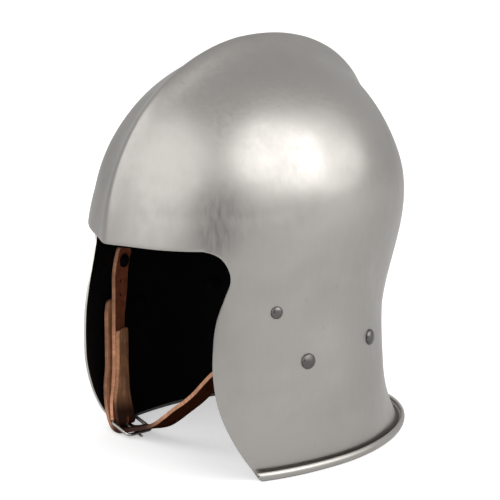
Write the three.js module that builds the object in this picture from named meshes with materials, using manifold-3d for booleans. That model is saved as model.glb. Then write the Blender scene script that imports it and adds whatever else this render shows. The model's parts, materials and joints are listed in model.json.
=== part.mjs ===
// A steel sallet helmet with a low comb, a rolled lower rim, domed rivets and a buckled leather chin strap.
// Millimetres. +Z is up, -Y is the front, +X is the wearer's left. The rim rests on z = 0.
import * as THREE from 'three';
import { mergeVertices } from 'three/addons/utils/BufferGeometryUtils.js';
import Module from 'manifold-3d';

const wasm = await Module();
wasm.setup();

// Steel shell
const WALL = 1.6;
const MIDDLE_Y = 2.9;
const COLUMNS_PER_QUARTER = 20;
const COLUMN_CROWDING = 0.45;
const POLE_STEP = 0.02;
const NORMAL_STEP = 0.01;
const HALVINGS = 40;
const MERGE_DISTANCE = 1e-4;

// Horizontal sections of the shell, from the crown down: half lengths to the front, side and back
const SECTIONS = [
  { z: 298.4, front: 0, side: 0, back: 0 },
  { z: 293.9, front: 32, side: 25, back: 37.5 },
  { z: 281, front: 63, side: 50, back: 69.8 },
  { z: 260, front: 90, side: 73.5, back: 93.8 },
  { z: 231.6, front: 111, side: 92.5, back: 109.6 },
  { z: 201, front: 123.5, side: 101.5, back: 119.4 },
  { z: 169.6, front: 129.5, side: 102.5, back: 120.6 },
  { z: 137.8, front: 133, side: 100, back: 112.6 },
  { z: 104.3, front: 136, side: 100.5, back: 101.4 },
  { z: 68, front: 135.7, side: 103.5, back: 98.2 },
  { z: 39.5, front: 132.7, side: 103.8, back: 101.4 },
  { z: 16.8, front: 128.6, side: 101, back: 111.5 },
  { z: 4.6, front: 124.4, side: 95.2, back: 120.5 },
];

// How square a section is in plan: 2 is an ellipse, more is squarer. It blends over rows 5 to 8.
const SQUARENESS = { fromRow: 5, toRow: 8, frontTop: 1.86, frontLow: 2.26, backTop: 2.21, backLow: 1.89 };

// Comb: a low ridge from brow to nape, its height by row
const COMB_HALF_WIDTH = 13;
const COMB_SHARPNESS = 1.5;
const COMB_HEIGHTS = [
  { row: 0, front: 10.7, back: 10.7 },
  { row: 3, front: 10.7, back: 10.7 },
  { row: 6.5, front: 5.9, back: 5 },
  { row: 8.5, front: 5.9, back: 0 },
  { row: 12, front: 0, back: 0 },
];

// Rows of the wall between the crown and the roll, as places along the table of sections
const WALL_ROWS = [0.3, 0.6, 0.95, 1.4, 1.9, 2.5, 3.1, 3.7, 4.4, 5.1, 5.8, 6.5, 7.2, 7.9, 8.7, 9.5, 10.2, 10.8, 11.4];

// Rolled rim: the sheet turns outward and up into an open roll
const ROLL_OUTER = 3.8;
const ROLL_INNER = ROLL_OUTER - WALL;
const ROLL_REST = { from: 252, to: 288 };
const ROLL_END = 425;
const ROLL_STEPS_AFTER = 3;
const ROLL_STEPS_INSIDE = 4;

// Face opening, seen from the side: the brow is level, then the edge sweeps down to the cheek's tip
const BROW_Z = 177.3;
const FACE_EDGE_STEPS = 44;
const FACE_EDGE = [
  { y: -106, z: 177.3 },
  { y: -94.1, z: 177.2 },
  { y: -85.1, z: 172.5 },
  { y: -80.4, z: 162.5 },
  { y: -80.1, z: 153.1 },
  { y: -84.4, z: 141.6 },
  { y: -91, z: 123.4 },
  { y: -94.6, z: 103.4 },
  { y: -95.6, z: 83.4 },
  { y: -93.3, z: 60.4 },
  { y: -85.8, z: 38.4 },
  { y: -74.9, z: 18.4 },
  { y: -60.3, z: 0.2 },
];
const CUT_FRONT = -200;
const CUT_LOW = -20;
const CUT_HALF_WIDTH = 150;

// Rivets on the wearer's left. The right side mirrors them.
const GAP = 0.3;
const SHANK_RADIUS = 2;
const HEAD_SEAT = 0.5;
const WASHER_SEAT = 0.7;
const STRAP_CLEAR = 0.5;
const WASHER_THICK = 1.2;
const PEEN = { foot: 3, top: 2, high: 1 };
const DOME_STEPS = 4;
const RIVET_SIDES = 16;
const RIVET_HOLE = { length: 24, sides: 12 };
const RIVETS = [
  { name: 'chin_rivet', y: -48.7, z: 127.9, head: 4.8, dome: 2.4, washer: 5, holdsStrap: true },
  { name: 'cheek_rivet', y: -25.6, z: 87.6, head: 6, dome: 3, washer: 5.5, holdsStrap: false },
  { name: 'nape_rivet', y: 40.7, z: 89.9, head: 6, dome: 3, washer: 5.5, holdsStrap: false },
];

// Chin strap: two leather lengths, one with the buckle and one that runs through it
const STRAP_WIDTH = 16.5;
const STRAP_THICK = 3;
const STRAP_SEAT = 1.1;
const STRAP_STEP = 5;
const TIP_LENGTH = 9;
const TIP_NARROW = 0.4;
const HOLE_RADIUS = 1.7;
const HOLE_SIDES = 10;
const PUNCH_LENGTH = 4 * STRAP_THICK;

// Buckle: a bent wire frame, its hinge bar under the wearer's right cheek
const BUCKLE = { hingeX: -73, hingeZ: 9.3, restX: -52.6, restZ: 3.9, y: -63.4, inside: 19.5, wire: 1.3, corner: 3 };
const PRONG_RADIUS = 0.9;
const LOOP_GAP = 0.45;
const LOOP_RADIUS = BUCKLE.wire + LOOP_GAP + STRAP_THICK / 2;
const PRONG_SLOT = { radius: 5.2, width: 3, sides: 16 };
const PRONG_EYE = { from: 10, to: 290, steps: 9 };
const PRONG_PAST = 2.5;
const WIRE_SIDES = 8;
const CORNER_STEPS = 3;

// Centre line of the buckle length, from its rivet down. turn swings the width away from straight back,
// tilt lowers its back edge.
const BUCKLE_STRAP = [
  { x: -89.6, y: -44.9, z: 137, turn: 15, tilt: 0 },
  { x: -89.8, y: -47.7, z: 127.8, turn: 15, tilt: 0 },
  { x: -89.3, y: -50.1, z: 117, turn: 15, tilt: 0 },
  { x: -87, y: -52.8, z: 105, turn: 19, tilt: 0 },
  { x: -84.6, y: -56.3, z: 88, turn: 25, tilt: 0 },
  { x: -83.9, y: -57.6, z: 70, turn: 27, tilt: 0 },
  { x: -83.5, y: -58.4, z: 50, turn: 27, tilt: 0 },
  { x: -81.9, y: -60.2, z: 32, turn: 20, tilt: 0 },
  { x: -79.7, y: -62.2, z: 20, turn: 9, tilt: 0 },
];
const FOLD_FROM = 200;
const FOLD_TO = 380;
const FOLD_STEPS = 6;
const FLAP = [
  { x: -71.6, y: -62.9, z: 14.5, turn: 3, tilt: 0 },
  { x: -76.2, y: -61, z: 24, turn: 12, tilt: 0 },
  { x: -78.8, y: -58.8, z: 34, turn: 21, tilt: 0 },
  { x: -80.5, y: -56.9, z: 50, turn: 27, tilt: 0 },
  { x: -80.9, y: -56.1, z: 68, turn: 27, tilt: 0 },
  { x: -81.2, y: -55.6, z: 77, turn: 27, tilt: 0 },
];

// Centre line of the long length: rivet, across under the chin, through the buckle and up the outside
const LONG_STRAP = [
  { x: 89.8, y: -47.7, z: 137, turn: -15, tilt: 0 },
  { x: 89.8, y: -47.7, z: 127.8, turn: -15, tilt: 0 },
  { x: 89.5, y: -48.6, z: 119, turn: -13, tilt: 0 },
  { x: 87, y: -50.6, z: 112, turn: -11, tilt: 0 },
  { x: 79, y: -54, z: 102.5, turn: -8, tilt: 0 },
  { x: 63, y: -59, z: 87.5, turn: -4, tilt: 0 },
  { x: 45.3, y: -63, z: 74.1, turn: 0, tilt: 6 },
  { x: 34.5, y: -63.2, z: 64.1, turn: 0, tilt: 9 },
  { x: 23.6, y: -63.3, z: 53.4, turn: 0, tilt: 11 },
  { x: 12.7, y: -63.4, z: 44.2, turn: 0, tilt: 13 },
  { x: -0.7, y: -63.4, z: 34.6, turn: 0, tilt: 16 },
  { x: -14.1, y: -63.4, z: 24.6, turn: 0, tilt: 15 },
  { x: -25.2, y: -63.4, z: 17.2, turn: 0, tilt: 12 },
  { x: -37.4, y: -63.4, z: 11.8, turn: 0, tilt: 8 },
  { x: -47.5, y: -63.4, z: 8.7, turn: 0, tilt: 4 },
  { x: -56, y: -63.4, z: 6.4, turn: 0, tilt: 0 },
  { x: -64, y: -63.4, z: 3.6, turn: 0, tilt: 0 },
  { x: -71, y: -63.4, z: 2.2, turn: 0, tilt: 0 },
  { x: -76.9, y: -63.4, z: 3.5, turn: 0, tilt: 0 },
  { x: -80.7, y: -63.6, z: 8.8, turn: 3, tilt: 0 },
  { x: -83.2, y: -64.4, z: 18, turn: 10, tilt: 0 },
  { x: -85.4, y: -64.6, z: 32, turn: 20, tilt: 0 },
  { x: -86.2, y: -63, z: 50, turn: 27, tilt: 0 },
  { x: -86.8, y: -62.2, z: 70, turn: 28, tilt: 0 },
  { x: -87.2, y: -61.5, z: 88, turn: 28, tilt: 0 },
  { x: -87.5, y: -61.2, z: 100, turn: 28, tilt: 0 },
];
const HOLES_UP_BUCKLE_STRAP = [112, 102, 82];
const HOLES_UP_LONG_STRAP = [24, 40];
const LONG_STRAP_RISE = 19;
const PRONG_HOLE = { x: -62, z: 4.3, length: 12, width: 3.4 };

const STEEL = { color: 0xa9a49d, roughness: 0.35, metalness: 1 };
const DARK_STEEL = { color: 0x6f6b66, roughness: 0.4, metalness: 1 };
const LEATHER = { color: 0x6b3d22, roughness: 0.7, metalness: 0 };

const group = new THREE.Group();

// A smooth curve through values at whole numbers, straight at both ends
function naturalSpline(values) {
  const n = values.length;
  const bend = new Array(n).fill(0);
  const sweep = new Array(n).fill(0);
  for (let i = 1; i < n - 1; i += 1) {
    const p = 0.5 * bend[i - 1] + 2;
    bend[i] = -0.5 / p;
    sweep[i] = (3 * (values[i + 1] - 2 * values[i] + values[i - 1]) - 0.5 * sweep[i - 1]) / p;
  }
  const second = new Array(n).fill(0);
  for (let i = n - 2; i > 0; i -= 1) {
    second[i] = bend[i] * second[i + 1] + sweep[i];
  }
  return (s) => {
    const i = Math.min(Math.max(Math.floor(s), 0), n - 2);
    const b = s - i;
    const a = 1 - b;
    const curve = ((a ** 3 - a) * second[i] + (b ** 3 - b) * second[i + 1]) / 6;
    return a * values[i] + b * values[i + 1] + curve;
  };
}

// The crown is rounded by carrying two rows over the top, mirrored
function sectionCurve(key) {
  const sign = key === 'z' ? 1 : -1;
  const over = [SECTIONS[2][key] * sign, SECTIONS[1][key] * sign];
  const curve = naturalSpline([...over, ...SECTIONS.map((row) => row[key])]);
  return (u) => curve(u + over.length);
}

const sectionZ = sectionCurve('z');
const sectionFront = sectionCurve('front');
const sectionSide = sectionCurve('side');
const sectionBack = sectionCurve('back');

function combHeight(u, key) {
  const next = COMB_HEIGHTS.findIndex((entry, i) => i > 0 && u <= entry.row);
  const b = COMB_HEIGHTS[next < 0 ? COMB_HEIGHTS.length - 1 : next];
  const a = COMB_HEIGHTS[COMB_HEIGHTS.indexOf(b) - 1];
  const t = THREE.MathUtils.clamp((u - a.row) / (b.row - a.row), 0, 1);
  return THREE.MathUtils.lerp(a[key], b[key], t);
}

// Point of the plain bowl: u runs down the table of sections, phi goes round from the front
function bowlPoint(u, phi) {
  const t = THREE.MathUtils.clamp((u - SQUARENESS.fromRow) / (SQUARENESS.toRow - SQUARENESS.fromRow), 0, 1);
  const c = Math.cos(phi);
  const s = Math.sin(phi);
  const isFront = c > 0;
  const top = isFront ? SQUARENESS.frontTop : SQUARENESS.backTop;
  const low = isFront ? SQUARENESS.frontLow : SQUARENESS.backLow;
  const power = 2 / THREE.MathUtils.lerp(top, low, t);
  const length = isFront ? sectionFront(u) : sectionBack(u);
  const x = sectionSide(u) * Math.sign(s) * Math.abs(s) ** power;
  const y = MIDDLE_Y - length * Math.sign(c) * Math.abs(c) ** power;
  return new THREE.Vector3(x, y, sectionZ(u));
}

function normalOf(pointAt, u, phi) {
  const down = pointAt(u + NORMAL_STEP, phi).sub(pointAt(Math.max(u - NORMAL_STEP, POLE_STEP / 2), phi));
  const round = pointAt(u, phi + NORMAL_STEP).sub(pointAt(u, phi - NORMAL_STEP));
  return down.cross(round).normalize();
}

// Outer face of the steel, with the comb raised along the bowl's normal
function outerPoint(u, phi) {
  const point = bowlPoint(u, phi);
  const height = combHeight(u, Math.cos(phi) > 0 ? 'front' : 'back');
  const lift = height * Math.exp(-((Math.abs(point.x) / COMB_HALF_WIDTH) ** COMB_SHARPNESS));
  return point.addScaledVector(normalOf(bowlPoint, u, phi), lift);
}

function innerPoint(u, phi) {
  return outerPoint(u, phi).addScaledVector(normalOf(outerPoint, u, phi), -WALL);
}

// Columns stand closer together near the comb
function columnAngles() {
  const quarter = [];
  for (let i = 0; i < COLUMNS_PER_QUARTER; i += 1) {
    const t = i / COLUMNS_PER_QUARTER;
    quarter.push((Math.PI / 2) * (COLUMN_CROWDING * t + (1 - COLUMN_CROWDING) * t * t));
  }
  const angles = [...quarter, Math.PI / 2];
  const half = [...angles, ...quarter.slice().reverse().map((angle) => Math.PI - angle)];
  return [...half, ...half.slice(1, -1).reverse().map((angle) => 2 * Math.PI - angle)];
}

// The open roll at the foot of one column, as two lists: the channel side and the outside
function rollPoints(phi) {
  const last = SECTIONS.length - 1;
  const foot = bowlPoint(last, phi);
  const above = bowlPoint(last - NORMAL_STEP, phi);
  const round = bowlPoint(last, phi + NORMAL_STEP).sub(bowlPoint(last, phi - NORMAL_STEP));
  const outward = new THREE.Vector3(round.y, -round.x, 0).normalize();
  const down = new THREE.Vector2(foot.clone().sub(above).dot(outward), foot.z - above.z).normalize();
  const along = (ROLL_OUTER - foot.z - ROLL_INNER * down.x) / down.y;
  const centreOut = along * down.x - ROLL_INNER * down.y;
  const start = THREE.MathUtils.radToDeg(Math.atan2(-down.x, down.y));
  const first = start < 0 ? start + 360 : start;
  const at = (radius, degrees) => {
    const angle = THREE.MathUtils.degToRad(degrees);
    const point = foot.clone().addScaledVector(outward, centreOut + radius * Math.cos(angle));
    point.z = ROLL_OUTER + radius * Math.sin(angle);
    return point;
  };
  const channel = steps(first, ROLL_END, ROLL_STEPS_INSIDE).map((degrees) => at(ROLL_INNER, degrees));
  const restRadius = ROLL_OUTER / Math.cos(THREE.MathUtils.degToRad((ROLL_REST.to - ROLL_REST.from) / 2));
  const outside = [
    ...steps(ROLL_END, ROLL_REST.to, ROLL_STEPS_AFTER).slice(0, -1).map((degrees) => at(ROLL_OUTER, degrees)),
    at(restRadius, ROLL_REST.to),
    at(restRadius, ROLL_REST.from),
    at(ROLL_OUTER, first),
  ];
  return [...channel, ...outside];
}

function steps(from, to, count) {
  return Array.from({ length: count + 1 }, (unused, i) => THREE.MathUtils.lerp(from, to, i / count));
}

// A closed body over rings of equal length. Ends are a single point each, flat caps, or joined to each other.
function skin(rings, ends) {
  const count = rings[0].length;
  const positions = [];
  const index = [];
  rings.forEach((ring) => ring.forEach((point) => positions.push(point.x, point.y, point.z)));
  const last = ends === 'joined' ? rings.length : rings.length - 1;
  for (let i = 0; i < last; i += 1) {
    const here = i * count;
    const next = ((i + 1) % rings.length) * count;
    for (let j = 0; j < count; j += 1) {
      const k = (j + 1) % count;
      index.push(here + j, here + k, next + k, here + j, next + k, next + j);
    }
  }
  if (ends !== 'joined') {
    [rings[0], rings[rings.length - 1]].forEach((ring, side) => {
      const point = ends === 'flat' ? middleOf(ring) : ends[side];
      const tip = positions.length / 3;
      const base = side * (rings.length - 1) * count;
      positions.push(point.x, point.y, point.z);
      for (let j = 0; j < count; j += 1) {
        const k = (j + 1) % count;
        index.push(...(side === 0 ? [tip, base + k, base + j] : [tip, base + j, base + k]));
      }
    });
  }
  const geometry = new THREE.BufferGeometry();
  geometry.setAttribute('position', new THREE.Float32BufferAttribute(positions, 3));
  geometry.setIndex(index);
  return facingOut(geometry);
}

function middleOf(ring) {
  return ring.reduce((sum, point) => sum.add(point), new THREE.Vector3()).divideScalar(ring.length);
}

// Turns a closed body's faces round if its volume comes out negative
function facingOut(geometry) {
  const position = geometry.getAttribute('position');
  const index = geometry.getIndex();
  const [a, b, c] = [new THREE.Vector3(), new THREE.Vector3(), new THREE.Vector3()];
  let volume = 0;
  for (let i = 0; i < index.count; i += 3) {
    a.fromBufferAttribute(position, index.getX(i));
    b.fromBufferAttribute(position, index.getX(i + 1));
    c.fromBufferAttribute(position, index.getX(i + 2));
    volume += a.dot(b.cross(c));
  }
  if (volume < 0) {
    const turned = Array.from(index.array);
    for (let i = 0; i < turned.length; i += 3) {
      [turned[i], turned[i + 1]] = [turned[i + 1], turned[i]];
    }
    geometry.setIndex(turned);
  }
  return geometry;
}

function toSolid(geometry) {
  const bare = geometry.clone();
  bare.deleteAttribute('normal');
  bare.deleteAttribute('uv');
  const merged = mergeVertices(bare, MERGE_DISTANCE);
  const vertProperties = new Float32Array(merged.getAttribute('position').array);
  const triVerts = new Uint32Array(merged.getIndex().array);
  return new wasm.Manifold(new wasm.Mesh({ numProp: 3, vertProperties, triVerts }));
}

function toGeometry(solid) {
  const mesh = solid.getMesh();
  const geometry = new THREE.BufferGeometry();
  geometry.setAttribute('position', new THREE.Float32BufferAttribute(mesh.vertProperties, 3));
  geometry.setIndex(Array.from(mesh.triVerts));
  return geometry;
}

function cutFrom(geometry, cutters) {
  const solid = cutters.reduce((body, cutter) => body.subtract(toSolid(cutter)), toSolid(geometry));
  return toGeometry(solid);
}

function addPiece(name, geometry, look) {
  const piece = new THREE.Mesh(geometry, new THREE.MeshStandardMaterial(look));
  piece.name = name;
  group.add(piece);
}

// Shell: wall, roll and inner wall as one strip per column, closed at the crown
function shellBlank() {
  const columns = columnAngles().map((phi) => {
    const outer = WALL_ROWS.map((u) => outerPoint(u, phi));
    const inner = WALL_ROWS.map((u) => innerPoint(u, phi)).reverse();
    return [...outer, ...rollPoints(phi), ...inner];
  });
  const rings = columns[0].map((unused, i) => columns.map((column) => column[i]));
  const crown = outerPoint(POLE_STEP, 0);
  crown.y = MIDDLE_Y;
  const inside = crown.clone();
  inside.z -= WALL;
  return skin(rings, [crown, inside]);
}

// The face opening is cut straight across from cheek to cheek
function faceOpening() {
  const edge = new THREE.SplineCurve(FACE_EDGE.map((point) => new THREE.Vector2(point.y, point.z)));
  const shape = new THREE.Shape([
    new THREE.Vector2(CUT_FRONT, BROW_Z),
    ...edge.getPoints(FACE_EDGE_STEPS),
    new THREE.Vector2(FACE_EDGE[FACE_EDGE.length - 1].y, CUT_LOW),
    new THREE.Vector2(CUT_FRONT, CUT_LOW),
  ]);
  const block = new THREE.ExtrudeGeometry(shape, { depth: 2 * CUT_HALF_WIDTH, bevelEnabled: false });
  const across = new THREE.Matrix4().makeBasis(
    new THREE.Vector3(0, 1, 0),
    new THREE.Vector3(0, 0, 1),
    new THREE.Vector3(1, 0, 0),
  );
  return block.translate(0, 0, -CUT_HALF_WIDTH).applyMatrix4(across);
}

// Walks down the table and round a section until the outer face is at the wanted height and depth
function seatOn(y, z) {
  const halve = (low, high, isPast) => {
    let [a, b] = [low, high];
    for (let i = 0; i < HALVINGS; i += 1) {
      const middle = (a + b) / 2;
      [a, b] = isPast(middle) ? [a, middle] : [middle, b];
    }
    return a;
  };
  const u = halve(0, SECTIONS.length - 1, (row) => sectionZ(row) < z);
  const phi = halve(0, Math.PI, (angle) => bowlPoint(u, angle).y > y);
  return { point: outerPoint(u, phi), normal: normalOf(outerPoint, u, phi) };
}

// Places a body made along +Y at a rivet's seat on the outer face, pointing out of the steel
function placeAtRivet(geometry, rivet, side) {
  const { point, normal } = seatOn(rivet.y, rivet.z);
  const mirror = new THREE.Vector3(side, 1, 1);
  const turn = new THREE.Quaternion().setFromUnitVectors(new THREE.Vector3(0, 1, 0), normal.multiply(mirror));
  point.multiply(mirror);
  return geometry.applyQuaternion(turn).translate(point.x, point.y, point.z);
}

function rivetHole(rivet, side) {
  const radius = SHANK_RADIUS + GAP;
  return placeAtRivet(new THREE.CylinderGeometry(radius, radius, RIVET_HOLE.length, RIVET_HOLE.sides), rivet, side);
}

// Domed head, shank, and inside the shell a washer with the shank's end peened over it
function rivetBody(rivet, side) {
  const depth = WALL + (rivet.holdsStrap ? STRAP_SEAT + STRAP_THICK + STRAP_CLEAR : WASHER_SEAT);
  const dome = steps(0, 90, DOME_STEPS).map((degrees) => {
    const angle = THREE.MathUtils.degToRad(degrees);
    return new THREE.Vector2(rivet.head * Math.cos(angle), HEAD_SEAT + rivet.dome * Math.sin(angle));
  });
  dome[dome.length - 1].x = 0;
  const profile = [
    new THREE.Vector2(0, -depth - WASHER_THICK - PEEN.high),
    new THREE.Vector2(PEEN.top, -depth - WASHER_THICK - PEEN.high),
    new THREE.Vector2(PEEN.foot, -depth - WASHER_THICK),
    new THREE.Vector2(rivet.washer, -depth - WASHER_THICK),
    new THREE.Vector2(rivet.washer, -depth),
    new THREE.Vector2(SHANK_RADIUS, -depth),
    new THREE.Vector2(SHANK_RADIUS, HEAD_SEAT),
    ...dome,
  ];
  return placeAtRivet(new THREE.LatheGeometry(profile, RIVET_SIDES), rivet, side);
}

// Stations of a strap, filled in along a smooth curve so that none stand further apart than the step
function fillIn(stations) {
  const points = stations.map((station) => new THREE.Vector3(station.x, station.y, station.z));
  const curve = new THREE.CatmullRomCurve3(points, false, 'centripetal');
  const filled = [];
  for (let i = 0; i < points.length - 1; i += 1) {
    const count = Math.ceil(points[i].distanceTo(points[i + 1]) / STRAP_STEP);
    for (let k = 0; k < count; k += 1) {
      const at = curve.getPoint((i + k / count) / (points.length - 1));
      const turn = THREE.MathUtils.lerp(stations[i].turn, stations[i + 1].turn, k / count);
      const tilt = THREE.MathUtils.lerp(stations[i].tilt, stations[i + 1].tilt, k / count);
      filled.push({ at, turn, tilt });
    }
  }
  const { turn, tilt } = stations[stations.length - 1];
  filled.push({ at: points[points.length - 1], turn, tilt });
  return filled;
}

// A flat strap along its stations. The free end narrows to a blunt tip.
function strap(stations, freeEnd) {
  const filled = fillIn(stations);
  const tip = filled[filled.length - 1].at;
  const rings = filled.map((station, i) => {
    const before = filled[Math.max(i - 1, 0)].at;
    const after = filled[Math.min(i + 1, filled.length - 1)].at;
    const along = after.clone().sub(before).normalize();
    const turn = THREE.MathUtils.degToRad(station.turn);
    const tilt = THREE.MathUtils.degToRad(station.tilt);
    const level = Math.cos(tilt);
    const across = new THREE.Vector3(-Math.sin(turn) * level, Math.cos(turn) * level, -Math.sin(tilt));
    across.addScaledVector(along, -across.dot(along)).normalize();
    const up = along.clone().cross(across);
    const reach = station.at.distanceTo(tip) / TIP_LENGTH;
    const narrow = freeEnd && reach < 1 ? THREE.MathUtils.lerp(TIP_NARROW, 1, Math.sqrt(reach)) : 1;
    const half = (STRAP_WIDTH / 2) * narrow;
    return [[-1, -1], [1, -1], [1, 1], [-1, 1]].map(([a, b]) => station.at.clone()
      .addScaledVector(across, a * half)
      .addScaledVector(up, (b * STRAP_THICK) / 2));
  });
  return skin(rings, 'flat');
}

// Round holes punched across a strap at given heights
function strapHoles(stations, heights) {
  return heights.map((height) => {
    const next = stations.findIndex((station, i) => i > 0 && (station.z - height) * (stations[i - 1].z - height) <= 0);
    const [a, b] = [stations[next - 1], stations[next]];
    const t = (height - a.z) / (b.z - a.z);
    const hole = new THREE.CylinderGeometry(HOLE_RADIUS, HOLE_RADIUS, PUNCH_LENGTH, HOLE_SIDES);
    const lean = Math.atan2(a.x - b.x, a.z - b.z);
    const turn = THREE.MathUtils.degToRad(THREE.MathUtils.lerp(a.turn, b.turn, t));
    return hole.rotateZ(Math.PI / 2).rotateY(lean).rotateZ(turn)
      .translate(THREE.MathUtils.lerp(a.x, b.x, t), THREE.MathUtils.lerp(a.y, b.y, t), height);
  });
}

// Round wire along points that lie in one upright or tilted plane with the given normal
function wire(points, normal, radius, ends) {
  const count = points.length;
  const rings = points.map((point, i) => {
    const before = ends === 'joined' ? points[(i + count - 1) % count] : points[Math.max(i - 1, 0)];
    const after = ends === 'joined' ? points[(i + 1) % count] : points[Math.min(i + 1, count - 1)];
    const along = after.clone().sub(before).normalize();
    const side = normal.clone().cross(along).normalize();
    return steps(0, 2 * Math.PI, WIRE_SIDES).slice(0, -1).map((angle) => point.clone()
      .addScaledVector(normal, radius * Math.cos(angle))
      .addScaledVector(side, radius * Math.sin(angle)));
  });
  return skin(rings, ends);
}

// Buckle frame: a rectangle of wire with rounded corners, hinge bar at one end and rest bar at the other
function buckleFrame() {
  const hinge = new THREE.Vector3(BUCKLE.hingeX, BUCKLE.y, BUCKLE.hingeZ);
  const rest = new THREE.Vector3(BUCKLE.restX, BUCKLE.y, BUCKLE.restZ);
  const along = rest.clone().sub(hinge);
  const length = along.length();
  along.normalize();
  const across = new THREE.Vector3(0, 1, 0);
  const half = BUCKLE.inside / 2 + BUCKLE.wire;
  const corners = [
    { a: length - BUCKLE.corner, b: half - BUCKLE.corner, from: 0 },
    { a: BUCKLE.corner, b: half - BUCKLE.corner, from: 90 },
    { a: BUCKLE.corner, b: BUCKLE.corner - half, from: 180 },
    { a: length - BUCKLE.corner, b: BUCKLE.corner - half, from: 270 },
  ];
  const points = corners.flatMap(({ a, b, from }) => steps(from, from + 90, CORNER_STEPS).map((degrees) => {
    const angle = THREE.MathUtils.degToRad(degrees);
    return hinge.clone()
      .addScaledVector(along, a + BUCKLE.corner * Math.cos(angle))
      .addScaledVector(across, b + BUCKLE.corner * Math.sin(angle));
  }));
  return wire(points, along.clone().cross(across).normalize(), BUCKLE.wire, 'joined');
}

// Prong: an eye round the hinge bar, then a straight pin whose tip rests under the far bar
function prong() {
  const turnRadius = BUCKLE.wire + GAP + PRONG_RADIUS;
  const eye = steps(PRONG_EYE.from, PRONG_EYE.to, PRONG_EYE.steps).map((degrees) => {
    const angle = THREE.MathUtils.degToRad(degrees);
    const x = BUCKLE.hingeX + turnRadius * Math.cos(angle);
    return new THREE.Vector3(x, BUCKLE.y, BUCKLE.hingeZ + turnRadius * Math.sin(angle));
  });
  const restZ = BUCKLE.restZ - BUCKLE.wire - GAP - PRONG_RADIUS;
  const tip = [BUCKLE.restX, BUCKLE.restX + PRONG_PAST].map((x) => new THREE.Vector3(x, BUCKLE.y, restZ));
  return wire([...eye, ...tip], new THREE.Vector3(0, 1, 0), PRONG_RADIUS, 'flat');
}

function prongSlot() {
  return new THREE.CylinderGeometry(PRONG_SLOT.radius, PRONG_SLOT.radius, PRONG_SLOT.width, PRONG_SLOT.sides)
    .translate(BUCKLE.hingeX, BUCKLE.y, BUCKLE.hingeZ);
}

function prongHole() {
  return new THREE.BoxGeometry(PRONG_HOLE.length, PRONG_HOLE.width, PUNCH_LENGTH)
    .translate(PRONG_HOLE.x, BUCKLE.y, PRONG_HOLE.z);
}

const fold = steps(FOLD_FROM, FOLD_TO, FOLD_STEPS).map((degrees) => {
  const angle = THREE.MathUtils.degToRad(degrees);
  const x = BUCKLE.hingeX + LOOP_RADIUS * Math.cos(angle);
  return { x, y: BUCKLE.y, z: BUCKLE.hingeZ + LOOP_RADIUS * Math.sin(angle), turn: 0, tilt: 0 };
});
const buckleLength = [...BUCKLE_STRAP, ...fold, ...FLAP];
const [chinRivet] = RIVETS;
const sides = [{ side: 1, word: 'left' }, { side: -1, word: 'right' }];

const rivetHoles = RIVETS.flatMap((rivet) => sides.map(({ side }) => rivetHole(rivet, side)));
addPiece('helmet_shell', cutFrom(shellBlank(), [faceOpening(), ...rivetHoles]), STEEL);
RIVETS.forEach((rivet) => {
  sides.forEach(({ side, word }) => {
    addPiece(`${rivet.name}_${word}`, toGeometry(toSolid(rivetBody(rivet, side))), DARK_STEEL);
  });
});
addPiece('buckle_strap', cutFrom(strap(buckleLength, false), [
  rivetHole(chinRivet, -1),
  prongSlot(),
  ...strapHoles(BUCKLE_STRAP, HOLES_UP_BUCKLE_STRAP),
]), LEATHER);
addPiece('long_strap', cutFrom(strap(LONG_STRAP, true), [
  rivetHole(chinRivet, 1),
  prongHole(),
  ...strapHoles(LONG_STRAP.slice(LONG_STRAP_RISE), HOLES_UP_LONG_STRAP),
]), LEATHER);
addPiece('buckle_frame', buckleFrame(), DARK_STEEL);
addPiece('buckle_prong', prong(), DARK_STEEL);

export default group;
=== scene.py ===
"""A steel sallet helmet with a low comb, a rolled rim, domed rivets and a buckled leather chin strap."""
import json
import math
from collections import namedtuple

import bmesh
import bpy
import numpy as np
from mathutils import Matrix, Vector, noise

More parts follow.
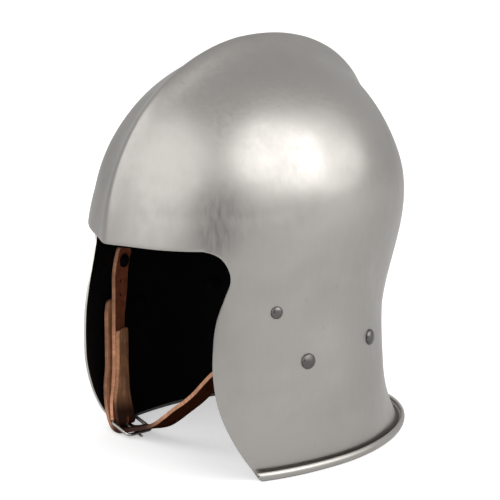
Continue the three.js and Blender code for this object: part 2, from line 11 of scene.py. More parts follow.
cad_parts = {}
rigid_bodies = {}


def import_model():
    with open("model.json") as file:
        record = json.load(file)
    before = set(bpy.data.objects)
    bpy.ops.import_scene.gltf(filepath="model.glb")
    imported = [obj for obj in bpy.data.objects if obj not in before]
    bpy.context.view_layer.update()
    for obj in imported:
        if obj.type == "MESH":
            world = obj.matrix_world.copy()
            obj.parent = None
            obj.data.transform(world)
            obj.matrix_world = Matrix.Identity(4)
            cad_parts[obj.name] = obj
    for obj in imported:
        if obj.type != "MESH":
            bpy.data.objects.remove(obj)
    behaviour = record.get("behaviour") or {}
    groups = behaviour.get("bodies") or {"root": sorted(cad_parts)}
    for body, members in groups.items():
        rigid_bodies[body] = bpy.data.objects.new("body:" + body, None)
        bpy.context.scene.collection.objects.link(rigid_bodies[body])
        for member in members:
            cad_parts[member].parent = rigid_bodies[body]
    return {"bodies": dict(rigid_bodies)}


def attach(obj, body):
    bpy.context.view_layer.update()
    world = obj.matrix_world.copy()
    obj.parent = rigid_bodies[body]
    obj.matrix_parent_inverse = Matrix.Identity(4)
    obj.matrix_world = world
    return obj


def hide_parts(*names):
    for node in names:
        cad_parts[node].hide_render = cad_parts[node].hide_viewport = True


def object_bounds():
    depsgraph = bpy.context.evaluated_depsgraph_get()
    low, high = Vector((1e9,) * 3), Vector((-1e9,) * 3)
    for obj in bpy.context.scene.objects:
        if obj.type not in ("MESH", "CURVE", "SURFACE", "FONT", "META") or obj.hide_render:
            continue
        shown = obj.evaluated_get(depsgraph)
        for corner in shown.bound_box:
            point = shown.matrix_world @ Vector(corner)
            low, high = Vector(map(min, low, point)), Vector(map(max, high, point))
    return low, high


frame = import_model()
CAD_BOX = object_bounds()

bl_info = {
    "name": "Sallet Helmet",
    "version": (1, 0, 0),
    "blender": (4, 5, 0),
    "location": "3D View > Sidebar > Helmet",
    "description": "Raises a satin steel sallet with its rivets, leather chin strap and buckle",
    "category": "Add Mesh",
}

MM = 0.001
MERGE_DISTANCE = 1e-6
HALVINGS = 28
BODY = next(iter(frame["bodies"]))

# Horizontal sections of the shell from the crown down, in millimetres: half lengths to front, side and back
Section = namedtuple("Section", "z front side back")
SECTIONS = [Section(*row) for row in (
    (298.4, 0, 0, 0),
    (293.9, 32, 25, 37.5),
    (281, 63, 50, 69.8),
    (260, 90, 73.5, 93.8),
    (231.6, 111, 92.5, 109.6),
    (201, 123.5, 101.5, 119.4),
    (169.6, 129.5, 102.5, 120.6),
    (137.8, 133, 100, 112.6),
    (104.3, 136, 100.5, 101.4),
    (68, 135.7, 103.5, 98.2),
    (39.5, 132.7, 103.8, 101.4),
    (16.8, 128.6, 101, 111.5),
    (4.6, 124.4, 95.2, 120.5),
)]
MIDDLE_Y = 2.9

# How square a section is in plan: 2 is an ellipse, more is squarer. It blends between two rows.
Squareness = namedtuple("Squareness", "from_row to_row front_top front_low back_top back_low")
SQUARENESS = Squareness(5, 8, 1.86, 2.26, 2.21, 1.89)

# Height of the comb by row of the table
CombHeight = namedtuple("CombHeight", "row front back")
COMB_HEIGHTS = [
    CombHeight(0, 10.7, 10.7),
    CombHeight(3, 10.7, 10.7),
    CombHeight(6.5, 5.9, 5),
    CombHeight(8.5, 5.9, 0),
    CombHeight(12, 0, 0),
]

# Edge of the face opening seen from the side, from the brow's corner down to the cheek's tip
EdgePoint = namedtuple("EdgePoint", "y z")
FACE_EDGE = [EdgePoint(*row) for row in (
    (-106, 177.3),
    (-94.1, 177.2),
    (-85.1, 172.5),
    (-80.4, 162.5),
    (-80.1, 153.1),
    (-84.4, 141.6),
    (-91, 123.4),
    (-94.6, 103.4),
    (-95.6, 83.4),
    (-93.3, 60.4),
    (-85.8, 38.4),
    (-74.9, 18.4),
    (-60.3, 0.2),
)]
CORNER = 1

# Rivets on the wearer's left, mirrored to the right. through is the way from the steel's face to the washer.
Rivet = namedtuple("Rivet", "name y z head dome washer through")
RIVETS = [
    Rivet("chin_rivet", -48.7, 127.9, 4.8, 2.4, 5, 6.2),
    Rivet("cheek_rivet", -25.6, 87.6, 6, 3, 5.5, 2.3),
    Rivet("nape_rivet", 40.7, 89.9, 6, 3, 5.5, 2.3),
]

# Small knocks in the steel: where, how wide and how deep
Knock = namedtuple("Knock", "x y z radius depth")
KNOCKS = [
    Knock(27.7, -116.4, 195.6, 2.2, 0.3),
    Knock(93.6, 55.3, 172, 1.8, 0.25),
    Knock(64, -88, 214, 3.5, 0.15),
    Knock(-58, -96, 221, 4, 0.18),
    Knock(-88, 40, 205, 3, 0.2),
]

# Centre lines of the straps. turn swings the width away from straight back, tilt lowers its back edge.
Station = namedtuple("Station", "x y z turn tilt", defaults=(0,))
BUCKLE_STRAP = [Station(*row) for row in (
    (-89.6, -44.9, 137, 15),
    (-89.8, -47.7, 127.8, 15),
    (-89.3, -50.1, 117, 15),
    (-87, -52.8, 105, 19),
    (-84.6, -56.3, 88, 25),
    (-83.9, -57.6, 70, 27),
    (-83.5, -58.4, 50, 27),
    (-81.9, -60.2, 32, 20),
    (-79.7, -62.2, 20, 9),
)]
FLAP = [Station(*row) for row in (
    (-71.6, -62.9, 14.5, 3),
    (-76.2, -61, 24, 12),
    (-78.8, -58.8, 34, 21),
    (-80.5, -56.9, 50, 27),
    (-80.9, -56.1, 68, 27),
    (-81.2, -55.6, 77, 27),
)]
LONG_STRAP = [Station(*row) for row in (
    (89.8, -47.7, 137, -15),
    (89.8, -47.7, 127.8, -15),
    (89.5, -48.6, 119, -13),
    (87, -50.6, 112, -11),
    (79, -54, 102.5, -8),
    (63, -59, 87.5, -4),
    (45.3, -63, 74.1, 0, 6),
    (34.5, -63.2, 64.1, 0, 9),
    (23.6, -63.3, 53.4, 0, 11),
    (12.7, -63.4, 44.2, 0, 13),
    (-0.7, -63.4, 34.6, 0, 16),
    (-14.1, -63.4, 24.6, 0, 15),
    (-25.2, -63.4, 17.2, 0, 12),
    (-37.4, -63.4, 11.8, 0, 8),
    (-47.5, -63.4, 8.7, 0, 4),
    (-56, -63.4, 6.4, 0),
    (-64, -63.4, 3.6, 0),
    (-71, -63.4, 2.2, 0),
    (-76.9, -63.4, 3.5, 0),
    (-80.7, -63.6, 8.8, 3),
    (-83.2, -64.4, 18, 10),
    (-85.4, -64.6, 32, 20),
    (-86.2, -63, 50, 27),
    (-86.8, -62.2, 70, 28),
    (-87.2, -61.5, 88, 28),
    (-87.5, -61.2, 100, 28),
)]
# Heights of the punched holes, each on the first stretch that passes it after the given station
Hole = namedtuple("Hole", "z after")
BUCKLE_STRAP_HOLES = [Hole(112, 1), Hole(102, 1), Hole(82, 1)]
LONG_STRAP_HOLES = [Hole(24, 19), Hole(40, 19)]

# The fold round the hinge bar: clearance from the wire, then its first and last angle and how many stations
LOOP_GAP = 0.45
FOLD = (200, 380, 7)
# Leather: its painted shade at the fold and the buckle, and how far its edges are rounded, in metres
PAINTED_SHADE_COLOUR = (0.04, 0.013, 0.007)
LEATHER_EDGE = 0.0004

# Ways cut through the leather for the prong: a round-ended slot at the fold and a long hole where it passes
Slot = namedtuple("Slot", "x z reach width")
PRONG_SLOT = Slot(-73, 9.3, 5.2, 3)
PRONG_HOLE = Slot(-62, 4.3, 6, 3.4)

# Buckle: hinge bar under the wearer's right cheek, rest bar nearer the middle
Buckle = namedtuple("Buckle", "hinge_x hinge_z rest_x rest_z y inside corner")
BUCKLE = Buckle(-73, 9.3, -52.6, 3.9, -63.4, 19.5, 3)
HINGE = (BUCKLE.hinge_x, BUCKLE.y, BUCKLE.hinge_z)
ACROSS = np.array([0.0, 1.0, 0.0])
WIRE_SIDES = 16

# Prong: its clearance from the bars, how far its tip passes the rest bar, and the angles of its eye
Prong = namedtuple("Prong", "gap past eye_start eye_end eye_steps")
PRONG = Prong(0.3, 2.5, 10, 290, 40)

# Metals: gloss, size of clouds and of marks, depth of the marks in metres, how far the gloss varies
Metal = namedtuple("Metal", "name rough clouds marks depth spread")
SHEET_METAL = Metal("satin_steel", None, 13.0, 380.0, 0.00004, 0.07)
FILED_METAL = Metal("filed_edge_steel", 0.3, 60.0, 500.0, 0.00003, 0.06)
RIVET_METAL = Metal("rivet_steel", 0.34, 120.0, 700.0, 0.00005, 0.16)
BUCKLE_METAL = Metal("buckle_steel", 0.3, 160.0, 900.0, 0.00003, 0.1)
# Filed edges are lighter than the sheet: bright filed steel with a painted highlight along the rim
FILED_AND_HIGHLIGHT_BRIGHTNESS = 1.7

# Leathers of the outer side, inner side and edge: the finish's colour and how much of it, gloss, streaks,
# depth of the pores in metres, mirror strength, and whether it takes painted shade at the buckle
Leather = namedtuple("Leather", "name colour share rough streaks pores mirror handled")
# The buckle length's outer side and edge are lighter copies of the long length's: painted light
BUCKLE_LEATHERS = (
    Leather("leather_handled_side", "grain_side", 8.5, 0.5, 0.35, 0.00006, 0.2, False),
    Leather("leather_worn_side", "flesh_side", 0.95, 0.5, 0.7, 0.0001, 0.2, True),
    Leather("leather_rubbed_edge", "cut_edge", 1.35, 0.6, 0.6, 0.0001, 0.2, False),
)
LONG_LEATHERS = (
    Leather("leather_grain_side", "grain_side", 1, 0.6, 0.35, 0.00006, 0.0, False),
    Leather("leather_flesh_side", "flesh_side", 1, 0.62, 0.85, 0.00012, 0.2, True),
    Leather("leather_cut_edge", "cut_edge", 1, 0.6, 0.6, 0.0001, 0.2, True),
)

# How a finish varies: shares of its colour where it is dim, where it is bright, and in a pit or pore
Tones = namedtuple("Tones", "dim bright pit")
METAL_TONES = Tones(0.93, 1.06, 0.8)
LEATHER_TONES = Tones(0.78, 1.2, 0.4)
FLOOR_TONES = Tones(0.995, 1.005, 1)
STREAK_TONE = 0.42
PORE_STRENGTH = 0.35
LEATHER_GLOSS_SWING = 0.09
PITS_PER_CLOUD = 9

# What each strap is made with
Length = namedtuple("Length", "name node free_end leathers holes way")
BUCKLE_LENGTH = Length("chin_strap_buckle_length", "buckle_strap", False, BUCKLE_LEATHERS, BUCKLE_STRAP_HOLES,
                       PRONG_SLOT)
LONG_LENGTH = Length("chin_strap_long_length", "long_strap", True, LONG_LEATHERS, LONG_STRAP_HOLES,
                     PRONG_HOLE)
# Long strap's painted shade at the buckle: stations where it starts to darken, is dark, starts to clear and
# is clear
LONG_STRAP_PAINTED_SHADE = (11, 13, 17, 19)

# Soft lights: direction from the helmet in degrees, distance and size in metres, power in watts
Softbox = namedtuple("Softbox", "name azimuth elevation distance size power")
SOFTBOXES = (
    Softbox("key", 93, 40, 2.4, 2.4, 31),
    Softbox("side", 129, 27, 3.0, 2.6, 28),
    Softbox("front", -2, 33, 3.0, 4.0, 42),
)
# Dark card: direction in degrees, distance, height of its middle and its size in metres
Flag = namedtuple("Flag", "azimuth distance height width length grey")
FLAG = Flag(51, 2.4, 0.75, 0.8, 1.3, 0.02)
WORLD_MIRRORED = (0.64, 0.64, 0.64)
WORLD_SEEN = (1.0, 1.0, 1.0)
FLOOR_GLOW = 0.5


def plain(label, text, value, **limits):
    """A number for a settings group."""
    return bpy.props.FloatProperty(name=label, description=text, default=value, **limits)


def metres(label, text, value, **limits):
    """A length for a settings group."""
    return plain(label, text, value, unit="LENGTH", **limits)


def degrees(label, text, value):
    """An angle for a settings group, given in degrees."""
    return plain(label, text, math.radians(value), unit="ROTATION")


def tint(label, text, *value):
    """A colour for a settings group."""
    return bpy.props.FloatVectorProperty(name=label, description=text, default=value, subtype="COLOR")


class ShellSizes(bpy.types.PropertyGroup):
    """Driving sizes of the steel shell"""
    wall: metres("Wall", "Thickness of the sheet", 0.0016)
    roll_radius: metres("Roll radius", "Outer radius of the open roll at the rim", 0.0038)
    roll_end: degrees("Roll end", "Angle at which the rolled sheet ends", 425)
    brow_height: metres("Brow height", "Height of the brow's edge", 0.1773)
    comb_half_width: metres("Comb half width", "Spread of the comb to each side", 0.013)
    comb_sharpness: plain("Comb sharpness", "2 is round, less is keener", 1.5)
    cell: metres("Cell", "Spacing of the mesh", 0.0026)
    rim_round: metres("Rim round", "Rounding filed on the free edges", 0.0006)
    hammer_depth: metres("Hammer depth", "Depth of the broad marks left in the sheet", 0.00012, precision=5)
    hammer_width: metres("Hammer width", "Width of those marks", 0.03)


class FittingSizes(bpy.types.PropertyGroup):
    """Driving sizes of the rivets, straps and buckle"""
    shank_radius: metres("Shank radius", "Radius of a rivet's shank", 0.002)
    washer_thick: metres("Washer", "Thickness of the washer inside the shell", 0.0012)
    peen_high: metres("Peened end", "Height of the hammered end of a shank", 0.001)
    strap_width: metres("Strap width", "Width of the leather", 0.0165)
    strap_thick: metres("Strap thickness", "Thickness of the leather", 0.003)
    strap_cup: metres("Strap cupping", "How far the leather's edges curl", 0.0003)
    tip_length: metres("Tip length", "Length over which a free end narrows", 0.009)
    hole_radius: metres("Hole radius", "Radius of a punched hole", 0.0017)
    wire_radius: metres("Wire radius", "Radius of the buckle's wire", 0.0013)
    prong_radius: metres("Prong radius", "Radius of the buckle's prong", 0.0009)


class FinishSettings(bpy.types.PropertyGroup):
    """Colours and gloss of the finishes"""
    steel: tint("Steel", "Colour of the polished sheet", 0.39, 0.374, 0.353)
    steel_roughness: plain("Steel roughness", "Softness of the steel's reflections", 0.38, min=0, max=1)
    rivet_steel: tint("Rivet steel", "Colour of the rivets", 0.13, 0.125, 0.12)
    buckle_steel: tint("Buckle steel", "Colour of the buckle", 0.5, 0.48, 0.46)
    paint: tint("Inside", "Colour of the blackened inside", 0.0022, 0.0021, 0.0022)
    grain_side: tint("Grain side", "Colour of the leather's dressed face", 0.045, 0.013, 0.006)
    flesh_side: tint("Flesh side", "Colour of the leather's rough face", 0.78, 0.37, 0.19)
    cut_edge: tint("Cut edge", "Colour of the leather's cut edge", 0.64, 0.31, 0.18)
    floor: tint("Floor", "Colour of the floor", 0.72, 0.72, 0.72)


class StageSettings(bpy.types.PropertyGroup):
    """Where the camera stands and looks"""
    azimuth: degrees("Azimuth", "Camera's angle from the front towards the wearer's left", 50.7)
    elevation: degrees("Elevation", "Camera's angle above the floor", 16.5)
    roll: degrees("Roll", "Camera's tilt", -1.23)
    distance: metres("Distance", "Camera's distance", 3.592)
    lens: plain("Lens", "Focal length for a sensor 36 mm wide", 347.1)
    aim: bpy.props.FloatVectorProperty(
        name="Aim", description="Point that the camera looks at", default=(0, 0.0041, 0.1444), unit="LENGTH")


def natural_spline(values):
    """A smooth curve through values at 0, 1, 2 and so on, straight at both ends."""
    values = np.asarray(values, float)
    inner = len(values) - 2
    bands = np.diag(np.full(inner, 4.0)) + np.eye(inner, k=1) + np.eye(inner, k=-1)
    second = np.pad(np.linalg.solve(bands, 6 * np.diff(values, 2)), 1)

    def curve(at):
        i = np.clip(np.floor(at).astype(int), 0, inner)
        b = at - i
        a = 1 - b
        bend = ((a ** 3 - a) * second[i] + (b ** 3 - b) * second[i + 1]) / 6
        return a * values[i] + b * values[i + 1] + bend

    return curve


def section_curve(key):
    """One column of the table as a curve, carried over the crown by two mirrored rows."""
    sign = 1 if key == "z" else -1
    values = [getattr(section, key) for section in SECTIONS]
    over = [sign * values[2], sign * values[1]]
    curve = natural_spline(over + values)
    return lambda u: curve(u + len(over))


def halve(low, high, is_past):
    """Where a test turns true between low and high, by halving."""
    for _ in range(HALVINGS):
        middle = (low + high) / 2
        past = is_past(middle)
        low, high = np.where(past, low, middle), np.where(past, middle, high)
    return low


def bridge(a, b, leave, arrive, steps):
    """Points of a cubic from a up to b that leaves and arrives with the given slopes."""
    t = np.linspace(0, 1, steps, endpoint=False)[:, None]
    cubic = 2 * a - 2 * b + leave + arrive
    square = 3 * b - 3 * a - 2 * leave - arrive
    return ((cubic * t + square) * t + leave) * t + a


def catmull_points(points, steps):
    """Points along a smooth curve through the given ones."""
    points = np.asarray(points, float)
    around = np.vstack([points[:1], points, points[-1:]])
    spans = zip(around, around[1:], around[2:], around[3:])
    found = [bridge(a, b, (b - before) / 2, (after - a) / 2, steps) for before, a, b, after in spans]
    return np.vstack(found + [points[-1:]])


def run_lengths(points):
    """Length walked along a line of points, from 0 at its start."""
    return np.concatenate([[0], np.cumsum(np.linalg.norm(np.diff(points, axis=0), axis=1))])


def resample(points, lengths):
    """Points of a line at the given lengths along it."""
    walked = run_lengths(points)
    return np.stack([np.interp(lengths, walked, column) for column in np.asarray(points).T], axis=1)


def unit(vectors):
    return vectors / np.linalg.norm(vectors, axis=-1, keepdims=True)


class ShellSurface:
    """Outer face of the steel, in millimetres. u runs down the sections and phi goes round from the front."""
    NUDGE = 0.01
    POLE = 0.02
    STEP_UP = 0.05

    def __init__(self, sizes):
        self.comb_half_width = sizes.comb_half_width / MM
        self.comb_sharpness = sizes.comb_sharpness
        self.roll_outer = sizes.roll_radius / MM
        self.roll_inner = (sizes.roll_radius - sizes.wall) / MM
        self.roll_end = sizes.roll_end
        self.height, self.front, self.side, self.back = (section_curve(key) for key in Section._fields)

    def bowl(self, u, phi):
        """The plain bowl without its comb."""
        t = np.clip((u - SQUARENESS.from_row) / (SQUARENESS.to_row - SQUARENESS.from_row), 0, 1)
        c, s = np.cos(phi), np.sin(phi)
        front_square = SQUARENESS.front_top + t * (SQUARENESS.front_low - SQUARENESS.front_top)
        back_square = SQUARENESS.back_top + t * (SQUARENESS.back_low - SQUARENESS.back_top)
        power = 2 / np.where(c > 0, front_square, back_square)
        length = np.where(c > 0, self.front(u), self.back(u))
        x = self.side(u) * np.sign(s) * np.abs(s) ** power
        y = MIDDLE_Y - length * np.sign(c) * np.abs(c) ** power
        return np.stack(np.broadcast_arrays(x, y, self.height(u)), axis=-1)

    def normal(self, point_at, u, phi):
        down = point_at(u + self.NUDGE, phi) - point_at(np.maximum(u - self.NUDGE, self.POLE / 2), phi)
        across = point_at(u, phi + self.NUDGE) - point_at(u, phi - self.NUDGE)
        return unit(np.cross(down, across))

    def outer(self, u, phi):
        """The bowl with the comb raised along its normal."""
        u, phi = np.broadcast_arrays(u, phi)
        u = np.maximum(u, self.POLE)
        points = self.bowl(u, phi)
        rows = [height.row for height in COMB_HEIGHTS]
        front = np.interp(u, rows, [height.front for height in COMB_HEIGHTS])
        back = np.interp(u, rows, [height.back for height in COMB_HEIGHTS])
        reach = (np.abs(points[..., 0]) / self.comb_half_width) ** self.comb_sharpness
        lift = np.where(np.cos(phi) > 0, front, back) * np.exp(-reach)
        return points + self.normal(self.bowl, u, phi) * lift[..., None]

    def row_at(self, z, phi):
        """The row at which the outer face reaches a height."""
        z, phi = np.broadcast_arrays(np.asarray(z, float), phi)
        foot = np.full(z.shape, len(SECTIONS) - 1.0)
        return halve(np.ones(z.shape), foot, lambda u: self.outer(u, phi)[..., 2] < z)

    def round_at(self, u, y):
        """The angle at which the bowl reaches a place from front to back."""
        back = np.full(np.shape(y), math.pi)
        return halve(np.zeros(np.shape(y)), back, lambda phi: self.bowl(u, phi)[..., 1] > y)

    def seat(self, y, z):
        """Point and normal on the wearer's left side."""
        u = self.row_at(z, math.pi / 2)
        phi = self.round_at(u, y)
        return self.outer(u, phi), self.normal(self.outer, u, phi)

    def roll(self, share, phi):
        """Channel side of the open roll, from its start at the wall, share 0, to its end, share 1."""
        foot_row = np.full(np.shape(phi), len(SECTIONS) - 1.0)
        foot = self.bowl(foot_row, phi)
        above = self.bowl(foot_row - self.STEP_UP, phi)
        across = self.bowl(foot_row, phi + self.NUDGE) - self.bowl(foot_row, phi - self.NUDGE)
        outward = unit(np.stack([across[..., 1], -across[..., 0], np.zeros(across.shape[:-1])], axis=-1))
        drop = foot - above
        down = unit(np.stack([(drop * outward).sum(-1), drop[..., 2]], axis=-1))
        along = (self.roll_outer - foot[..., 2] - self.roll_inner * down[..., 0]) / down[..., 1]
        centre_out = along * down[..., 0] - self.roll_inner * down[..., 1]
        start = np.arctan2(-down[..., 0], down[..., 1]) % (2 * math.pi)
        angle = start + share * (self.roll_end - start)
        points = foot + outward * (centre_out + self.roll_inner * np.cos(angle))[..., None]
        points[..., 2] = self.roll_outer + self.roll_inner * np.sin(angle)
        return points


def even_places(points, spacing, weights=None):
    """Shares from 0 to 1 that step evenly along a line, closer together where weights are larger."""
    steps = np.diff(run_lengths(points))
    if weights is not None:
        steps = steps * weights
    walked = np.concatenate([[0], np.cumsum(steps)])
    count = max(int(round(walked[-1] / spacing)), 2)
    return np.interp(np.linspace(0, walked[-1], count + 1), walked, np.linspace(0, 1, len(walked)))


class ShellGrid:
    """Places of the half shell's mesh. Columns run from the front round to the back, rows from the crown."""
    FINE = 2000
    ROLL_ROWS = 14
    COMB_CROWDING = 1.2
    FIRST_ANGLE = 0.2

    def __init__(self, sizes):
        self.surface = ShellSurface(sizes)
        self.cell = sizes.cell / MM
        self.brow = sizes.brow_height / MM
        self.edge = catmull_points(FACE_EDGE, self.FINE // len(FACE_EDGE))
        self.edge_walk = run_lengths(self.edge)
        surface = self.surface
        corner = FACE_EDGE[CORNER]
        side_brow = surface.row_at(self.brow, math.pi / 2)
        self.corner_phi = float(surface.round_at(side_brow, corner.y))
        self.front = self.corner_phi * self.columns(0, self.corner_phi)
        self.back = self.columns(self.corner_phi, math.pi)
        crown = surface.outer(np.linspace(0, side_brow, self.FINE), math.pi / 2)
        self.crown_rows = even_places(crown, self.cell)
        self.corner_column = len(self.front) - 1
        self.brow_row = len(self.crown_rows) - 1

    def columns(self, start, end):
        """Shares of the way round from start to end, crowded near the comb."""
        phi = np.linspace(start, end, self.FINE)
        line = self.surface.outer(np.full(phi.shape, float(SQUARENESS.from_row)), phi)
        middle = (line[1:, 0] + line[:-1, 0]) / 2
        weights = 1 + self.COMB_CROWDING * np.exp(-((middle / self.surface.comb_half_width) ** 2))
        return even_places(line, self.cell, weights)

    def edge_y(self, z):
        return np.interp(z, self.edge[::-1, 1], self.edge[::-1, 0])

    def skull(self):
        """Rows from the crown to the brow."""
        phi = np.concatenate([self.front, self.corner_phi + self.back[1:] * (math.pi - self.corner_phi)])
        brow_rows = self.surface.row_at(self.brow, phi)
        points = self.surface.outer(self.crown_rows[:, None] * brow_rows[None, :], phi[None, :])
        points[0] = points[0, 0] * [0, 1, 1]
        points[0, :, 1] = MIDDLE_Y
        return points

    def skirt(self):
        """Rows from the brow to the foot of the wall, from the face edge round to the back."""
        foot = 2 * self.surface.roll_outer
        below = self.edge[:, 1] < FACE_EDGE[CORNER].z
        stretch = self.edge[below & (self.edge[:, 1] > foot)]
        heights = resample(stretch, np.arange(self.cell / 2, run_lengths(stretch)[-1], self.cell))[:, 1]
        heights = np.append(heights, foot)
        edge_phi = self.surface.round_at(self.surface.row_at(heights, math.pi / 2), self.edge_y(heights))
        phi = edge_phi[:, None] + self.back[None, :] * (math.pi - edge_phi[:, None])
        return self.surface.outer(self.surface.row_at(heights[:, None], phi), phi)

    def roll(self):
        """Rows round the open roll, each starting on the face edge."""
        rows = []
        for share in np.linspace(0, 1, self.ROLL_ROWS + 1):
            def is_past(phi):
                point = self.surface.roll(share, phi)
                return point[..., 1] > self.edge_y(point[..., 2])
            start = halve(np.array(self.FIRST_ANGLE), np.array(math.pi / 2), is_past)
            phi = start + self.back * (math.pi - start)
            rows.append(self.surface.roll(share, phi))
        return np.array(rows)

    def points(self):
        """All rows. Below the brow the columns in front of the face edge hold still and have no faces."""
        skull = self.skull()
        lower = np.concatenate([self.skirt(), self.roll()])
        still = np.repeat(skull[-1:, :self.corner_column], len(lower), axis=0)
        return np.concatenate([skull, np.concatenate([still, lower], axis=1)])


def new_object(name):
    """The object that the last operator added, with its name."""
    piece = bpy.context.active_object
    piece.name = name
    piece.data.name = name
    return piece


def deselect():
    if bpy.context.object and bpy.context.object.mode != "OBJECT":
        bpy.ops.object.mode_set(mode="OBJECT")
    bpy.ops.object.select_all(action="DESELECT")


def activate(piece):
    deselect()
    piece.select_set(True)
    bpy.context.view_layer.objects.active = piece


def add_grid(name, points):
    """A grid primitive laid over rows of points in metres, with each vertex's row and column."""
    rows, columns = points.shape[:2]
    deselect()
    bpy.ops.mesh.primitive_grid_add(x_subdivisions=columns - 1, y_subdivisions=rows - 1, size=2)
    piece = new_object(name)
    flat = np.empty(len(piece.data.vertices) * 3)
    piece.data.vertices.foreach_get("co", flat)
    flat = flat.reshape(-1, 3)
    column = np.rint((flat[:, 0] + 1) / 2 * (columns - 1)).astype(int)
    row = np.rint((flat[:, 1] + 1) / 2 * (rows - 1)).astype(int)
    piece.data.vertices.foreach_set("co", points[row, column].ravel())
    piece.data.update()
    return piece, row, column


def select_faces(piece, test):
    """Selects the faces that pass a test, in edit mode."""
    mesh = bmesh.from_edit_mesh(piece.data)
    for group in (mesh.verts, mesh.edges, mesh.faces):
        for element in group:
            element.select = False
    for face in mesh.faces:
        if test(face):
            face.select_set(True)
    bmesh.update_edit_mesh(piece.data)


def edit(piece, *steps):
    """Runs steps on a piece in edit mode, starting with all of it selected."""
    activate(piece)
    bpy.ops.object.mode_set(mode="EDIT")
    bpy.ops.mesh.select_all(action="SELECT")
    for step in steps:
        step()
    bpy.ops.object.mode_set(mode="OBJECT")


def merge_and_turn_out(piece):
    """Merges doubled points and turns all faces the same way."""
    edit(piece, lambda: bpy.ops.mesh.remove_doubles(threshold=MERGE_DISTANCE),
         lambda: bpy.ops.mesh.normals_make_consistent(inside=False))


def add_modifier(piece, name, kind, **settings):
    """Adds a modifier with its settings and applies it."""
    activate(piece)
    modifier = piece.modifiers.new(name, kind)
    for key, value in settings.items():
        setattr(modifier, key, value)
    bpy.ops.object.modifier_apply(modifier=name)


def thicken(piece, name, thickness, offset):
    """Gives a sheet its wall. The inner side takes the second material and the rim the third."""
    add_modifier(piece, name, "SOLIDIFY", thickness=thickness, offset=offset, use_even_offset=True,
                 use_quality_normals=True, material_offset=1, material_offset_rim=2)


def soften(piece, name, width, segments, degrees_kept, material=-1):
    """Rounds the edges that turn by more than an angle."""
    add_modifier(piece, name, "BEVEL", width=width, segments=segments, limit_method="ANGLE",
                 angle_limit=math.radians(degrees_kept), material=material)


def cut_away(piece, name, cutter):
    """Takes a cutter's shape out of a piece."""
    add_modifier(piece, name, "BOOLEAN", operation="DIFFERENCE", solver="EXACT", object=cutter)
    bpy.data.objects.remove(cutter)


def check_closed(piece):
    """Raises an error if a piece has an open edge."""
    mesh = bmesh.new()
    mesh.from_mesh(piece.data)
    open_edges = sum(1 for edge in mesh.edges if len(edge.link_faces) != 2)
    mesh.free()
    if open_edges:
        raise RuntimeError(f"{piece.name} has {open_edges} open edges")


def finish_piece(piece, node, smooth_angle):
    """Smooths a piece and ties it to the frame in place of its node."""
    activate(piece)
    bpy.ops.object.shade_smooth_by_angle(angle=math.radians(smooth_angle))
    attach(piece, BODY)
    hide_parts(node)
    deselect()


class Graph:
    """Nodes of a material or a node group, each added and wired by one short call."""

    def __init__(self, tree):
        self.nodes = tree.nodes
        self.links = tree.links

    def feed(self, socket, value):
        """Gives a socket another socket's value, a colour or a number."""
        if isinstance(value, bpy.types.NodeSocket):
            self.links.new(value, socket)
        elif socket.type == "RGBA":
            socket.default_value = (*value, 1)
        else:
            socket.default_value = value

    def add(self, kind, inputs, output, **settings):
        """Adds a node with its settings, feeds its inputs by name or number and returns one output."""
        node = self.nodes.new("ShaderNode" + kind)
        for key, value in settings.items():
            setattr(node, key, value)
        for label, value in inputs.items():
            self.feed(node.inputs[label], value)
        return node.outputs[output]

    def noise(self, vector, scale, detail, roughness=0.5):
        inputs = {"Vector": vector, "Scale": scale, "Detail": detail, "Roughness": roughness}
        return self.add("TexNoise", inputs, "Fac")

    def span(self, value, low, high, to_low=0.0, to_high=1.0):
        """Maps a value's range smoothly to another."""
        inputs = {"Value": value, "From Min": low, "From Max": high, "To Min": to_low, "To Max": to_high}
        return self.add("MapRange", inputs, "Result", interpolation_type="SMOOTHSTEP")

    def math(self, kind, a, b):
        return self.add("Math", {0: a, 1: b}, "Value", operation=kind)

    def mix(self, share, a, b):
        """Mixes two colours."""
        return self.add("Mix", {0: share, 6: a, 7: b}, 2, data_type="RGBA")

    def bump(self, height, distance, strength):
        return self.add("Bump", {"Height": height, "Distance": distance, "Strength": strength}, "Normal")

    def stretched(self, vector, scale, rotation=(0, 0, 0)):
        return self.add("Mapping", {"Vector": vector, "Scale": scale, "Rotation": rotation}, "Vector")

    def object_place(self):
        return self.add("TexCoord", {}, "Object")

    def surface(self, group, place, scales):
        """The outputs of a node group laid over a place, its scales set by name."""
        node = self.nodes.new("ShaderNodeGroup")
        node.node_tree = group
        for label, value in {"Place": place, **scales}.items():
            self.feed(node.inputs[label], value)
        return node.outputs

    def shade(self, inputs):
        for label, value in inputs.items():
            self.feed(self.nodes["Principled BSDF"].inputs[label], value)


def new_material(name, colour):
    """A material with a Principled shader, and its graph."""
    material = bpy.data.materials.new(name)
    material.use_nodes = True
    material.diffuse_color = (*colour, 1)
    return material, Graph(material.node_tree)


def surface_group(name, scales, outputs, draw):
    """A node group over a place, with scales as inputs. draw gives the value of each output."""
    group = bpy.data.node_groups.get(name)
    if group:
        return group
    group = bpy.data.node_groups.new(name, "ShaderNodeTree")
    group.interface.new_socket("Place", in_out="INPUT", socket_type="NodeSocketVector")
    for label, default in scales.items():
        socket = group.interface.new_socket(label, in_out="INPUT", socket_type="NodeSocketFloat")
        socket.default_value = default
    for label in outputs:
        group.interface.new_socket(label, in_out="OUTPUT", socket_type="NodeSocketFloat")
    graph = Graph(group)
    given = graph.nodes.new("NodeGroupInput").outputs
    taken = graph.nodes.new("NodeGroupOutput").inputs
    for label, value in zip(outputs, draw(graph, given)):
        graph.feed(taken[label], value)
    return group


